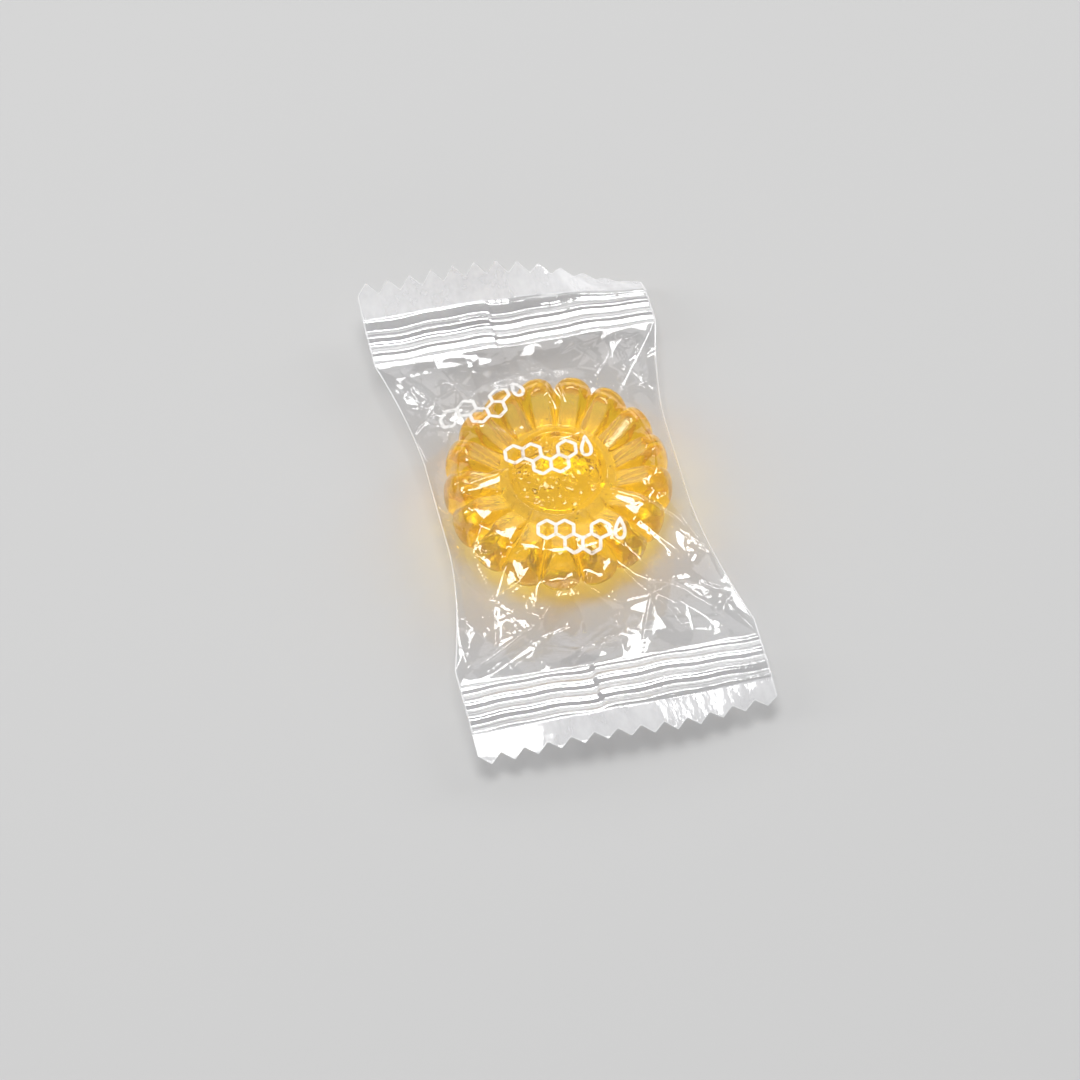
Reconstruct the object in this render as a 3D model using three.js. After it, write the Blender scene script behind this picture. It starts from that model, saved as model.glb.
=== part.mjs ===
// A flower-shaped honey candy sealed in a clear film packet that lies on its back.
// Millimetres, +Z up. The packet runs along Y, and the candy sits a little nearer its +Y end.
// The solid is the filled packet's outer form: the film tight over the candy, drawn in at the
// waist, and pressed flat at both ends into ribbed seals with a zigzag cut.
import * as THREE from 'three';
import { mergeVertices } from 'three/addons/utils/BufferGeometryUtils.js';

// Candy
const CANDY_DIAMETER = 24.4;
const CANDY_THICKNESS = 7.6;
const PETALS = 17;
const PETAL_TURN = THREE.MathUtils.degToRad(2);
const GROOVE_DEPTH = 0.35;
const GROOVE_START = 7.5;
const SHOULDER = 2.4;
const FILM_SLACK = 0.15;
const CONTACT_INSET = 1.6;

// Packet
const PACKET_LENGTH = 57.6;
const SEAL_LENGTH = 9;
const SEAL_WIDTH = 32;
const WAIST_WIDTH = 26.4;
const WAIST_HALF_LENGTH = 5;
const WAIST_CURVE = 1.6;
const CANDY_OFFSET = 1.9;
const SEAM_HEIGHT = 3.9;
const FILM_SAG = 0.45;
const FOLD_DEPTH = 0.35;
const FOLD_TURN = 2.4;

// End seals
const SEAL_THICKNESS = 0.6;
const SEAL_SKEW = Math.tan(THREE.MathUtils.degToRad(-3.5));
const RIB_PITCH = 1.8;
const RIB_COUNT = 3;
const RIB_HEIGHT = 0.36;
const RIB_PROFILE = [[0.2, 1], [0.45, 1], [0.7, -1], [0.95, -1]];
const TOOTH_COUNT = 13;
const TOOTH_DEPTH = 1.1;
const TOOTH_MARGIN = 0.4;
const SEAL_WAVE = 0.35;
const SEAL_WAVE_TURNS = 0.85;
const SEAL_WAVE_SHIFT = 0.2;

// Hanging and curling of the end seals. Each span is where across the seal it begins and ends,
// from -1 to 1.
const CURL_START = 22;
const TOP_LIFT = 3.2;
const TOP_CORNER_DROOP = 6.2;
const TOP_DROOP_SPAN = [-0.1, 1];
const TOP_CORNER_PULL = 2.3;
const FOOT_SIDE_DROOP = 0.7;
const FOOT_CORNER_DROOP = 0.9;
const FOOT_DROOP_SPAN = [0.3, 1.05];
const FOOT_CORNER_PULL = 1.3;
const PULL_SPAN = [0.25, 1.05];

// Mesh: half a tooth to a column, and six segments to a petal all the way round
const COLUMNS = 2 * TOOTH_COUNT;
const SEGMENTS = 6 * PETALS;
const SIDE_STEPS = (SEGMENTS - 2 * COLUMNS) / 2;

const BODY_HALF = PACKET_LENGTH / 2 - SEAL_LENGTH;
const CANDY_RADIUS = CANDY_DIAMETER / 2;
const CONTACT_RADIUS = CANDY_RADIUS - CONTACT_INSET;
const { clamp, lerp, smoothstep } = THREE.MathUtils;

// Half of the packet's width at a place along it: narrow beside the candy, full at the seals
function halfWidth(y) {
  const away = Math.abs(y - CANDY_OFFSET) - WAIST_HALF_LENGTH;
  const reach = BODY_HALF - WAIST_HALF_LENGTH;
  const spread = clamp(away / reach, 0, 1) ** WAIST_CURVE;
  return lerp(WAIST_WIDTH, SEAL_WIDTH, spread) / 2;
}

// Height at which the two faces of the film meet: level beside the candy. The +Y seal curls up,
// but for its +X corner, which hangs. The -Y seal's corners hang a little, and both seals are wavy.
function seamHeight(x, y) {
  const out = clamp((Math.abs(y) - CURL_START) / (PACKET_LENGTH / 2 - CURL_START), 0, 1);
  const across = x / (SEAL_WIDTH / 2);
  const top = TOP_LIFT - TOP_CORNER_DROOP * smoothstep(across, ...TOP_DROOP_SPAN);
  const foot = -FOOT_SIDE_DROOP * across ** 2 - FOOT_CORNER_DROOP * smoothstep(across, ...FOOT_DROOP_SPAN);
  const wave = SEAL_WAVE * Math.cos(2 * Math.PI * (SEAL_WAVE_TURNS * across + SEAL_WAVE_SHIFT));
  return SEAM_HEIGHT + out ** 2 * (wave + (y > 0 ? top : foot));
}

// How far a hanging corner of a seal draws in towards the candy
function cornerPull(x, y) {
  const out = clamp((Math.abs(y) - BODY_HALF) / SEAL_LENGTH, 0, 1);
  const pull = y > 0 ? TOP_CORNER_PULL : FOOT_CORNER_PULL;
  return pull * out ** 2 * smoothstep(x / (SEAL_WIDTH / 2), ...PULL_SPAN);
}

// Where an angle from +Y lies across its petal: 0 on the crown, -1 and 1 in the grooves
function petalAcross(angle) {
  const turn = ((angle - PETAL_TURN) * PETALS) / (2 * Math.PI);
  return 2 * (turn - Math.round(turn));
}

// Rounded edge of the candy: the share of its height left at a radius
function shoulderShare(radius) {
  const across = clamp((radius - CANDY_RADIUS + SHOULDER) / SHOULDER, 0, 1);
  return Math.sqrt(1 - across * across);
}

// Film stretched flat over the candy's front, sinking a little between the petals' rounded tips
function frontOnCandy(radius, angle) {
  const top = 2 * FILM_SLACK + CANDY_THICKNESS;
  const groove = GROOVE_DEPTH * smoothstep(radius, GROOVE_START, CANDY_RADIUS) * petalAcross(angle) ** 2;
  return lerp(SEAM_HEIGHT, top, shoulderShare(radius)) - groove;
}

// Film under the candy's back: flat, then starting up round its edge
function backOnCandy(radius) {
  return SEAM_HEIGHT * (1 - shoulderShare(radius));
}

// Where the film runs from the candy to the packet's rim, on the ray of each segment. Segment 0
// points along +Y, and they go round by way of +X.
function rimPoint(segment) {
  const half = COLUMNS / 2;
  const turn = (segment + half) % SEGMENTS;
  const secondSeal = COLUMNS + SIDE_STEPS;
  let u;
  let y;
  if (turn <= COLUMNS) {
    u = turn / half - 1;
    y = BODY_HALF;
  } else if (turn < secondSeal) {
    u = 1;
    y = lerp(BODY_HALF, -BODY_HALF, (turn - COLUMNS) / SIDE_STEPS);
  } else if (turn <= secondSeal + COLUMNS) {
    u = 1 - (turn - secondSeal) / half;
    y = -BODY_HALF;
  } else {
    u = -1;
    y = lerp(-BODY_HALF, BODY_HALF, (turn - secondSeal - COLUMNS) / SIDE_STEPS);
  }
  return filmPoint(u * halfWidth(y), y);
}

// A point of the flattened film at a place on the packet. side is 1 on the front face, -1 on the
// back one and 0 on the rim, where both faces meet.
function filmPoint(x, y, side = 0, lift = 0) {
  const z = seamHeight(x, y) + (side * SEAL_THICKNESS) / 2 + lift;
  const skew = SEAL_SKEW * x * smoothstep(Math.abs(y), 0, BODY_HALF);
  return new THREE.Vector3(x, y + skew - Math.sign(y) * cornerPull(x, y), z);
}

// Radii of the rings on the candy, closer where the form turns
function candyRings(side) {
  const flatEdge = CANDY_RADIUS - SHOULDER;
  const onTop = [GROOVE_START / 2, GROOVE_START, (GROOVE_START + flatEdge) / 2];
  const onBack = [GROOVE_START];
  return [...(side > 0 ? onTop : onBack), flatEdge, (flatEdge + CONTACT_RADIUS) / 2, CONTACT_RADIUS];
}

// Rings between the candy's edge and the rim, as shares of the way
const FILM_RINGS = [0.12, 0.3, 0.5, 0.7, 0.88, 1];

// One face of the packet's body, as rings of points from the candy's middle out to the rim
function bodyRings(side) {
  const rings = [];
  for (const radius of candyRings(side)) {
    const ring = [];
    for (let i = 0; i < SEGMENTS; i += 1) {
      const angle = (i / SEGMENTS) * 2 * Math.PI + PETAL_TURN;
      const z = side > 0 ? frontOnCandy(radius, angle) : backOnCandy(radius);
      ring.push(new THREE.Vector3(radius * Math.sin(angle), CANDY_OFFSET + radius * Math.cos(angle), z));
    }
    rings.push(ring);
  }
  const contact = rings[rings.length - 1];
  for (const share of FILM_RINGS) {
    rings.push(contact.map((from, i) => spannedPoint(from, i, share, side)));
  }
  return rings;
}

// A point of the free film, some share of the way from the candy to the rim: nearly straight,
// sagging towards the seam and gathered in shallow folds that run out to the rim
function spannedPoint(from, segment, share, side) {
  const to = rimPoint(segment);
  if (onSeal(segment)) {
    to.z += (side * SEAL_THICKNESS) / 2;
  }
  const span = Math.hypot(to.x - from.x, to.y - from.y) / BODY_HALF;
  const bow = 4 * share * (1 - share);
  const fold = FOLD_DEPTH * Math.sin(FOLD_TURN * segment) * bow * span;
  const point = from.clone().lerp(to, share);
  point.z += side * (fold - FILM_SAG * bow * span);
  return point;
}

// Whether a segment's ray ends inside an end seal's line, and not on the packet's side edge
function onSeal(segment) {
  const half = COLUMNS / 2;
  const fromTop = Math.min(segment, SEGMENTS - segment);
  const fromBottom = Math.abs(segment - SEGMENTS / 2);
  return fromTop < half || fromBottom < half;
}

// Rows of an end seal, from its inner line out to the teeth: how far out each lies, and its rib's lift
function sealRows() {
  const rows = [{ out: 0, lift: 0 }];
  for (let rib = 0; rib < RIB_COUNT; rib += 1) {
    for (const [share, sign] of RIB_PROFILE) {
      rows.push({ out: (rib + share) * RIB_PITCH, lift: (sign * RIB_HEIGHT) / 2 });
    }
  }
  rows.push({ out: (RIB_COUNT * RIB_PITCH + SEAL_LENGTH - TOOTH_DEPTH) / 2, lift: 0 });
  rows.push({ out: SEAL_LENGTH - TOOTH_DEPTH - TOOTH_MARGIN, lift: 0 });
  rows.push({ out: SEAL_LENGTH, lift: 0 });
  return rows;
}

// One face of an end seal, as rows of points. end is 1 for the +Y seal and -1 for the -Y one.
function sealGrid(end, side) {
  const rows = sealRows();
  return rows.map(({ out, lift }, row) => {
    const line = [];
    for (let column = 0; column <= COLUMNS; column += 1) {
      const teeth = row === rows.length - 1;
      const valley = teeth && column % 2 === 0 ? TOOTH_DEPTH : 0;
      const onRim = teeth || column === 0 || column === COLUMNS;
      const x = ((2 * column) / COLUMNS - 1) * halfWidth(end * BODY_HALF);
      line.push(filmPoint(x, end * (BODY_HALF + out - valley), onRim ? 0 : side, lift));
    }
    return line;
  });
}

// Collects triangles that face up on the front face and down on the back one
class Skin {
  constructor() {
    this.corners = [];
  }

  triangle(a, b, c) {
    this.corners.push(a, b, c);
  }

  // A four-sided patch, cut along the line from a to c
  patch(a, b, c, d, side) {
    if (side > 0) {
      this.triangle(a, b, c);
      this.triangle(a, c, d);
    } else {
      this.triangle(a, c, b);
      this.triangle(a, d, c);
    }
  }

  geometry() {
    const soup = new THREE.BufferGeometry().setFromPoints(this.corners);
    return mergeVertices(soup, 1e-4);
  }
}

function addBody(skin, side) {
  const rings = bodyRings(side);
  const middle = new THREE.Vector3(0, CANDY_OFFSET, side > 0 ? frontOnCandy(0, 0) : backOnCandy(0));
  for (let i = 0; i < SEGMENTS; i += 1) {
    const next = (i + 1) % SEGMENTS;
    const [first, second] = side > 0 ? [next, i] : [i, next];
    skin.triangle(middle, rings[0][first], rings[0][second]);
    for (let k = 1; k < rings.length; k += 1) {
      skin.patch(rings[k - 1][i], rings[k - 1][next], rings[k][next], rings[k][i], side);
    }
  }
}

function addSeal(skin, end, side) {
  const grid = sealGrid(end, side);
  for (let row = 1; row < grid.length; row += 1) {
    for (let column = 0; column < COLUMNS; column += 1) {
      const left = column < COLUMNS / 2;
      const near = grid[row - 1];
      const far = grid[row];
      const corners = left
        ? [far[column], near[column], near[column + 1], far[column + 1]]
        : [near[column], near[column + 1], far[column + 1], far[column]];
      skin.patch(...corners, end * side);
    }
  }
}

function buildWrapper() {
  const skin = new Skin();
  for (const side of [1, -1]) {
    addBody(skin, side);
    addSeal(skin, 1, side);
    addSeal(skin, -1, side);
  }
  const geometry = skin.geometry();
  geometry.computeBoundingBox();
  const { min, max } = geometry.boundingBox;
  geometry.translate(-(min.x + max.x) / 2, -(min.y + max.y) / 2, -min.z);
  return geometry;
}

const clearFilm = new THREE.MeshStandardMaterial({ color: 0xede9df, roughness: 0.12, metalness: 0 });

const wrapper = new THREE.Mesh(buildWrapper(), clearFilm);
wrapper.name = 'sealed_wrapper';

const candyPacket = new THREE.Group();
candyPacket.add(wrapper);

export default candyPacket;
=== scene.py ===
"""Looks of a honey candy sealed in a clear film packet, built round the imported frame.

The frame's one solid is the outer form of the filled packet. Here it is replaced by what it
stands for: a front and a back sheet of clear film, creased and pressed into ribs at both ends,
and the flower-shaped candy of clear boiled sugar that lies between them. Forms are worked out in
millimetres and made in metres. Angles about the candy's middle run from +Y towards +X, and a
share of its face runs from 0 in the middle to 1 on the outline.
"""

from __future__ import annotations

import logging
import math
from dataclasses import dataclass
from enum import Enum
from typing import Any

import bpy
import numpy as np
from bpy.types import Material, Node, NodeSocket, Object
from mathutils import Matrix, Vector, geometry
from mathutils.bvhtree import BVHTree

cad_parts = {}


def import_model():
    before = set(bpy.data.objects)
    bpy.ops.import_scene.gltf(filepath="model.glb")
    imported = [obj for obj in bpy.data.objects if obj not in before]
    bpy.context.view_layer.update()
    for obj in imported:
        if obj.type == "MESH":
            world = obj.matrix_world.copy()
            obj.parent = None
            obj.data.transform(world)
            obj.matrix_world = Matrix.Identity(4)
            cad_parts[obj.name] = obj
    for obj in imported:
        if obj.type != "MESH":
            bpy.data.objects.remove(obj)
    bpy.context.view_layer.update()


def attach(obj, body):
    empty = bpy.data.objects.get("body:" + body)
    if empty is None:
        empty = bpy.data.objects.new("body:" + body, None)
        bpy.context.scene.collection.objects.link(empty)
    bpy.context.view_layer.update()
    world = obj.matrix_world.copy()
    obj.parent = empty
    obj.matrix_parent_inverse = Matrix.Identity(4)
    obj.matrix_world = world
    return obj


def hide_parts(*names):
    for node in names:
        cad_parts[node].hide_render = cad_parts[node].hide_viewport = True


Array = np.ndarray
Pair = tuple[float, float]
Triple = tuple[float, float, float]
Colour = tuple[float, float, float, float]
Named = dict[str, Any]

LOG = logging.getLogger("honey_candy")
MM = 0.001
FULL_TURN = 2.0 * math.pi
WHITE: Colour = (1.0, 1.0, 1.0, 1.0)
WRAPPER_NODE = "sealed_wrapper"
# Names of shares stored at the candy's points: golden milk that is partly painted glow, and a pale painted
# highlight.
MILK_AND_GLOW_ATTRIBUTE = "milk_and_glow"
PAINTED_HIGHLIGHT_ATTRIBUTE = "painted_highlight"


def part_way(value: Array | float, low: float, high: Array | float) -> Array:
    """Share of the way, from 0 to 1, that a value has gone from low to high."""
    return np.clip((np.asarray(value, float) - low) / (high - low), 0.0, 1.0)


def eased(value: Array | float, low: float, high: float) -> Array:
    """Share of the way from low to high, eased at both ends."""
    share = part_way(value, low, high)
    return share * share * (3.0 - 2.0 * share)


def mix(first: Array | float, second: Array | float, share: Array | float) -> Array:
    """Value that lies a share of the way from the first to the second."""
    return first + (second - first) * share


def zigzag(phase: Array) -> Array:
    """Wave of straight lines: 1 at whole phases and 0 half way between them."""
    return np.abs(2.0 * (phase - np.floor(phase)) - 1.0)


def crown(across: Array, power: float) -> Array:
    """Round section: 1 in the middle and 0 where across is -1 or 1."""
    return np.sqrt(1.0 - np.abs(across) ** power)


class Side(Enum):
    """Face of the packet that a sheet of film makes. The value is its sign along +Z."""

    FRONT = 1
    BACK = -1


class Trait(Enum):
    """Part of a petal that differs a little from one petal to the next."""

    TIP = 0
    CREST = 1
    FOOT = 2


class Zone(Enum):
    """Part of a sheet of film. The value is the place of its finish on the mesh."""

    LOOSE = 0
    RIBBED = 1
    WELDED = 2
    # Outermost faces, whose finish paints a highlight along the film's cut edges.
    EDGE = 3


class Signal:
    """Number carried by a shader socket. Arithmetic on it adds Math nodes."""

    def __init__(self, shader: Shader, socket: NodeSocket) -> None:
        """Wraps an output socket of a shader's tree."""
        self.shader = shader
        self.socket = socket

    def _math(self, operation: str, first: Signal | float, second: Signal | float) -> Signal:
        """Adds one Math node for an operation on two values."""
        values = {"Value": first, "Value_001": second}
        return self.shader.signal("ShaderNodeMath", {"operation": operation}, values)

    def __add__(self, other: Signal | float) -> Signal:
        """Sum."""
        return self._math("ADD", self, other)

    __radd__ = __add__

    def __mul__(self, other: Signal | float) -> Signal:
        """Product."""
        return self._math("MULTIPLY", self, other)

    __rmul__ = __mul__

    def __truediv__(self, other: Signal | float) -> Signal:
        """Quotient."""
        return self._math("DIVIDE", self, other)

    def __rtruediv__(self, other: float) -> Signal:
        """Quotient of a number by this one."""
        return self._math("DIVIDE", other, self)

    def eased(self, low: float, high: float) -> Signal:
        """Eased share of the way from low to high."""
        values = {"Value": self, "From Min": low, "From Max": high, "To Min": 0.0, "To Max": 1.0}
        return self.shader.signal("ShaderNodeMapRange", {"interpolation_type": "SMOOTHSTEP"}, values)


class Shader:
    """Node tree of one material."""

    def __init__(self, name: str) -> None:
        """Starts a material with no nodes but its output.

        Args:
            name: the material's name.
        """
        self.material = bpy.data.materials.new(name)
        self.material.use_nodes = True
        self.tree = self.material.node_tree
        self.tree.nodes.clear()
        self.output = self.tree.nodes.new("ShaderNodeOutputMaterial")

    def node(self, kind: str, settings: Named, values: Named) -> Node:
        """Adds one node.

        Args:
            kind: the node's type.
            settings: its properties, which are set first.
            values: what goes to its sockets, by name or identifier: a number, a colour, a
                signal, or the socket of another node.

        Returns:
            The new node.
        """
        made = self.tree.nodes.new(kind)
        for name, value in settings.items():
            setattr(made, name, value)
        for name, value in values.items():
            socket = next(s for s in made.inputs if name in (s.identifier, s.name))
            if isinstance(value, Signal):
                value = value.socket
            if isinstance(value, NodeSocket):
                self.tree.links.new(value, socket)
            else:
                socket.default_value = value
        return made

    def signal(self, kind: str, settings: Named, values: Named, output: int | str = 0) -> Signal:
        """Adds one node and wraps one of its outputs. The other arguments are those of node."""
        return Signal(self, self.node(kind, settings, values).outputs[output])

    def attribute(self, name: str) -> Signal:
        """Number stored at each point of the mesh under a name."""
        return self.signal("ShaderNodeAttribute", {"attribute_name": name}, {}, "Fac")

    def noise(self, size_mm: float, detail: float, stretch: Triple = (1.0, 1.0, 1.0)) -> Signal:
        """Cloudy noise over the object.

        Args:
            size_mm: size of its largest patches.
            detail: how many finer levels it has.
            stretch: how many times closer it runs along each axis.

        Returns:
            The noise, about 0.5 on average.
        """
        place = self.node("ShaderNodeTexCoord", {}, {}).outputs["Object"]
        factors = {"Vector": place, "Vector_001": stretch}
        scaled = self.node("ShaderNodeVectorMath", {"operation": "MULTIPLY"}, factors).outputs[0]
        values = {"Vector": scaled, "Scale": 1.0 / (size_mm * MM), "Detail": detail}
        return self.signal("ShaderNodeTexNoise", {"noise_dimensions": "3D"}, values)

    def bump(self, height: Signal, depth_mm: float) -> NodeSocket:
        """Normal of a surface whose relief, a height from 0 to 1, is so many millimetres deep."""
        values = {"Height": height, "Distance": depth_mm * MM}
        return self.node("ShaderNodeBump", {}, values).outputs[0]

    def blend(self, factor: Signal | float, first: Node, second: Node) -> Node:
        """Mix Shader of two surfaces. The factor is the share of the second."""
        values = {"Fac": factor, "Shader": first.outputs[0], "Shader_001": second.outputs[0]}
        return self.node("ShaderNodeMixShader", {}, values)

    def lamps_through(self, body: Node, tint: Colour = WHITE) -> Node:
        """Lets the lamps shine straight through a clear body, so that it casts no solid shadow.

        Args:
            body: the surface that all other rays meet.
            tint: colour that the lamps' light takes on.

        Returns:
            The whole surface.
        """
        clear = self.node("ShaderNodeBsdfTransparent", {}, {"Color": tint})
        for_lamps = self.signal("ShaderNodeLightPath", {}, {}, "Is Shadow Ray")
        return self.blend(for_lamps, body, clear)

    def finish(self, surface: Node, volume: Node | None = None) -> Material:
        """Connects the output.

        Args:
            surface: the node of the whole surface.
            volume: the node of what fills the body, if it is clear.

        Returns:
            The finished material.
        """
        self.tree.links.new(surface.outputs[0], self.output.inputs["Surface"])
        if volume is not None:
            self.tree.links.new(volume.outputs[0], self.output.inputs["Volume"])
        return self.material


@dataclass(frozen=True)
class BoiledSugar:
    """Clear amber sugar glass, glossy and very slightly uneven, with a little milky diffuse that is partly
    painted glow, and pale painted highlights on its flat cuts and disc wall.
    """

    refraction: float = 1.5
    roughness: float = 0.03
    tint: Colour = (1.0, 0.85, 0.02, 1.0)
    lamp_tint: Colour = (1.0, 0.83, 0.6, 1.0)
    depth_tint: Colour = (0.99, 0.94, 0.08, 1.0)
    density_per_mm: float = 0.22
    streak_size: float = 1.6
    streak_roughness: float = 0.04
    relief_mm: float = 0.03
    # Golden milky diffuse: partly real milkiness and partly painted glow that brightens the glass, most on
    # the tips.
    base_milk_and_glow: float = 0.05
    tip_milk_and_glow: float = 0.13
    least_milk_and_glow: float = 0.6
    streak_milk_and_glow: float = 0.8
    milk_and_glow: Colour = (1.0, 0.72, 0.05, 1.0)
    # Pale diffuse colour and roughness of a painted highlight on the flat cuts and the disc's wall.
    highlight_paint: Colour = (1.0, 0.86, 0.38, 1.0)
    highlight_paint_roughness: float = 0.15

    def material(self) -> Material:
        """Makes the material.

        Returns:
            The material, with glass for its surface and colour in its depth.
        """
        shader = Shader("boiled_sugar")
        streaks = shader.noise(self.streak_size, detail=2.0)
        normal = shader.bump(streaks, self.relief_mm)
        highlight_paint = shader.attribute(PAINTED_HIGHLIGHT_ATTRIBUTE)
        rough = self.roughness + self.streak_roughness * streaks + self.highlight_paint_roughness * highlight_paint
        glass = shader.node(
            "ShaderNodeBsdfPrincipled",
            {},
            {
                "Base Color": self.tint,
                "Roughness": rough,
                "IOR": self.refraction,
                "Transmission Weight": 1.0,
                "Normal": normal,
            },
        )
        # Diffuse layers over the glass: golden milk that is partly painted glow, and a pale painted
        # highlight.
        milk_and_glow, painted_highlight = (
            shader.node("ShaderNodeBsdfDiffuse", {}, {"Color": colour, "Normal": normal})
            for colour in (self.milk_and_glow, self.highlight_paint)
        )
        milk_and_glow_share = self.base_milk_and_glow + self.tip_milk_and_glow * shader.attribute(MILK_AND_GLOW_ATTRIBUTE)
        body = shader.blend(milk_and_glow_share * (self.least_milk_and_glow + self.streak_milk_and_glow * streaks), glass, milk_and_glow)
        body = shader.blend(highlight_paint, body, painted_highlight)
        depth = {"Color": self.depth_tint, "Density": self.density_per_mm / MM}
        inside = shader.node("ShaderNodeVolumeAbsorption", {}, depth)
        return shader.finish(shader.lamps_through(body, self.lamp_tint), inside)


@dataclass(frozen=True)
class AirInSugar:
    """Skin of an air bubble inside the sugar glass."""

    refraction: float = 1.0 / BoiledSugar.refraction
    roughness: float = 0.02

    def material(self) -> Material:
        """Makes the material.

        Returns:
            The material.
        """
        shader = Shader("air_in_sugar")
        values = {"Roughness": self.roughness, "IOR": self.refraction, "Transmission Weight": 1.0}
        skin = shader.node("ShaderNodeBsdfPrincipled", {}, values)
        return shader.finish(shader.lamps_through(skin))


@dataclass(frozen=True)
class ClearFilm:
    """Thin clear packing film: see-through, glossy, with a faint milky haze and fine wrinkles."""

    name: str = "clear_film"
    refraction: float = 1.44
    sharp_roughness: float = 0.05
    soft_roughness: float = 0.15
    softness: float = 0.2
    clear_tint: Colour = (0.975, 0.975, 0.98, 1.0)
    milk_tint: Colour = (0.95, 0.95, 0.96, 1.0)
    haze: float = 0.012
    wrinkle_mm: float = 0.04
    wrinkle_size: float = 2.6
    wrinkle_stretch: Triple = (1.0, 0.45, 1.0)
    plies: float = 1.0

    def material(self) -> Material:
        """Makes the material.

        Returns:
            The material. It mirrors as much as both faces of all its plies do together.
        """
        shader = Shader(self.name)
        wrinkles = shader.noise(self.wrinkle_size, detail=3.0, stretch=self.wrinkle_stretch)
        normal = shader.bump(wrinkles, self.wrinkle_mm)
        inside = shader.signal("ShaderNodeNewGeometry", {}, {}, "Backfacing")
        ratio = self.refraction + (1.0 / self.refraction - self.refraction) * inside
        face = shader.signal("ShaderNodeFresnel", {}, {"IOR": ratio, "Normal": normal})
        clear = shader.node("ShaderNodeBsdfTransparent", {}, {"Color": self.clear_tint})
        sharp, soft = (
            shader.node(
                "ShaderNodeBsdfAnisotropic",
                {"distribution": "GGX"},
                {"Color": WHITE, "Roughness": roughness, "Normal": normal},
            )
            for roughness in (self.sharp_roughness, self.soft_roughness)
        )
        faces = 2.0 * self.plies
        all_faces = faces * face / (1.0 + (faces - 1.0) * face)
        mirrored = shader.blend(all_faces, clear, shader.blend(self.softness, sharp, soft))
        milk = shader.node("ShaderNodeBsdfDiffuse", {}, {"Color": self.milk_tint})
        return shader.finish(shader.blend(self.haze * (0.5 + wrinkles), mirrored, milk))


@dataclass(frozen=True)
class WhiteInk:
    """Thin white ink printed on the film, worn in places, so that a little light passes."""

    tint: Colour = (0.88, 0.87, 0.85, 1.0)
    roughness: float = 0.35
    cover: float = 0.86
    wear_size: float = 0.5
    wear_span: Pair = (0.1, 0.5)

    def material(self) -> Material:
        """Makes the material.

        Returns:
            The material.
        """
        shader = Shader("white_ink")
        values = {"Base Color": self.tint, "Roughness": self.roughness}
        ink = shader.node("ShaderNodeBsdfPrincipled", {}, values)
        clear = shader.node("ShaderNodeBsdfTransparent", {}, {"Color": WHITE})
        left = shader.noise(self.wear_size, detail=2.0).eased(*self.wear_span)
        return shader.finish(shader.blend(self.cover * left, clear, ink))


@dataclass(frozen=True)
class PaleFloor:
    """Matt pale studio floor."""

    shade: float = 0.53
    roughness: float = 0.9

    def material(self) -> Material:
        """Makes the material.

        Returns:
            The material.
        """
        shader = Shader("pale_floor")
        grey = (self.shade, self.shade, self.shade, 1.0)
        values = {"Base Color": grey, "Roughness": self.roughness}
        return shader.finish(shader.node("ShaderNodeBsdfPrincipled", {}, values))


def mesh_object(name: str, points: Array, faces: list | Array, *finishes: Material) -> Object:
    """Makes a smooth-shaded mesh object.

    Args:
        name: name of the piece.
        points: its points in millimetres, one row each.
        faces: indices of each face's corners.
        finishes: its materials.

    Returns:
        The object, linked to the scene.
    """
    mesh = bpy.data.meshes.new(name)
    corners = faces.tolist() if isinstance(faces, np.ndarray) else faces
    mesh.from_pydata((np.asarray(points) * MM).tolist(), [], corners)
    mesh.polygons.foreach_set("use_smooth", [True] * len(mesh.polygons))
    for finish in finishes:
        mesh.materials.append(finish)
    mesh.update()
    made = bpy.data.objects.new(name, mesh)
    bpy.context.scene.collection.objects.link(made)
    return made


def grid_faces(index: Array, flip: bool = False) -> Array:
    """Four-sided faces of a grid of points.

    Args:
        index: the points' numbers, by rows and columns.
        flip: whether the faces turn over.

    Returns:
        The corner indices, one row for each face.
    """
    corners = [index[:-1, :-1], index[:-1, 1:], index[1:, 1:], index[1:, :-1]]
    quads = np.stack(corners, axis=-1).reshape(-1, 4)
    return quads[:, ::-1] if flip else quads


def sheet_object(name: str, places: tuple[Array, ...], flip: bool, *finishes: Material) -> Object:
    """Makes a mesh object of an open sheet.

    Args:
        name: name of the piece.
        places: x, y and z of its points in millimetres, each by rows and columns.
        flip: whether the faces turn over.
        finishes: its materials.

    Returns:
        The object, linked to the scene.
    """
    points = np.stack(places, axis=-1)
    index = np.arange(places[0].size).reshape(places[0].shape)
    return mesh_object(name, points.reshape(-1, 3), grid_faces(index, flip), *finishes)


def body_faces(rings: int, count: int, flip: bool = False) -> list[list[int]]:
    """Faces of a closed body, whose points are its rings and then its two poles.

    Args:
        rings: how many rings of points.
        count: how many points a ring has.
        flip: whether the faces turn over.

    Returns:
        The corner indices of each face.
    """
    index = np.arange(rings * count).reshape(rings, count)
    faces = grid_faces(np.hstack([index, index[:, :1]]), flip).tolist()
    pole, last = rings * count, (rings - 1) * count
    for i in range(count):
        after = (i + 1) % count
        caps = [[pole, after, i], [pole + 1, last + i, last + after]]
        faces += [cap[::-1] for cap in caps] if flip else caps
    return faces


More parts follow.
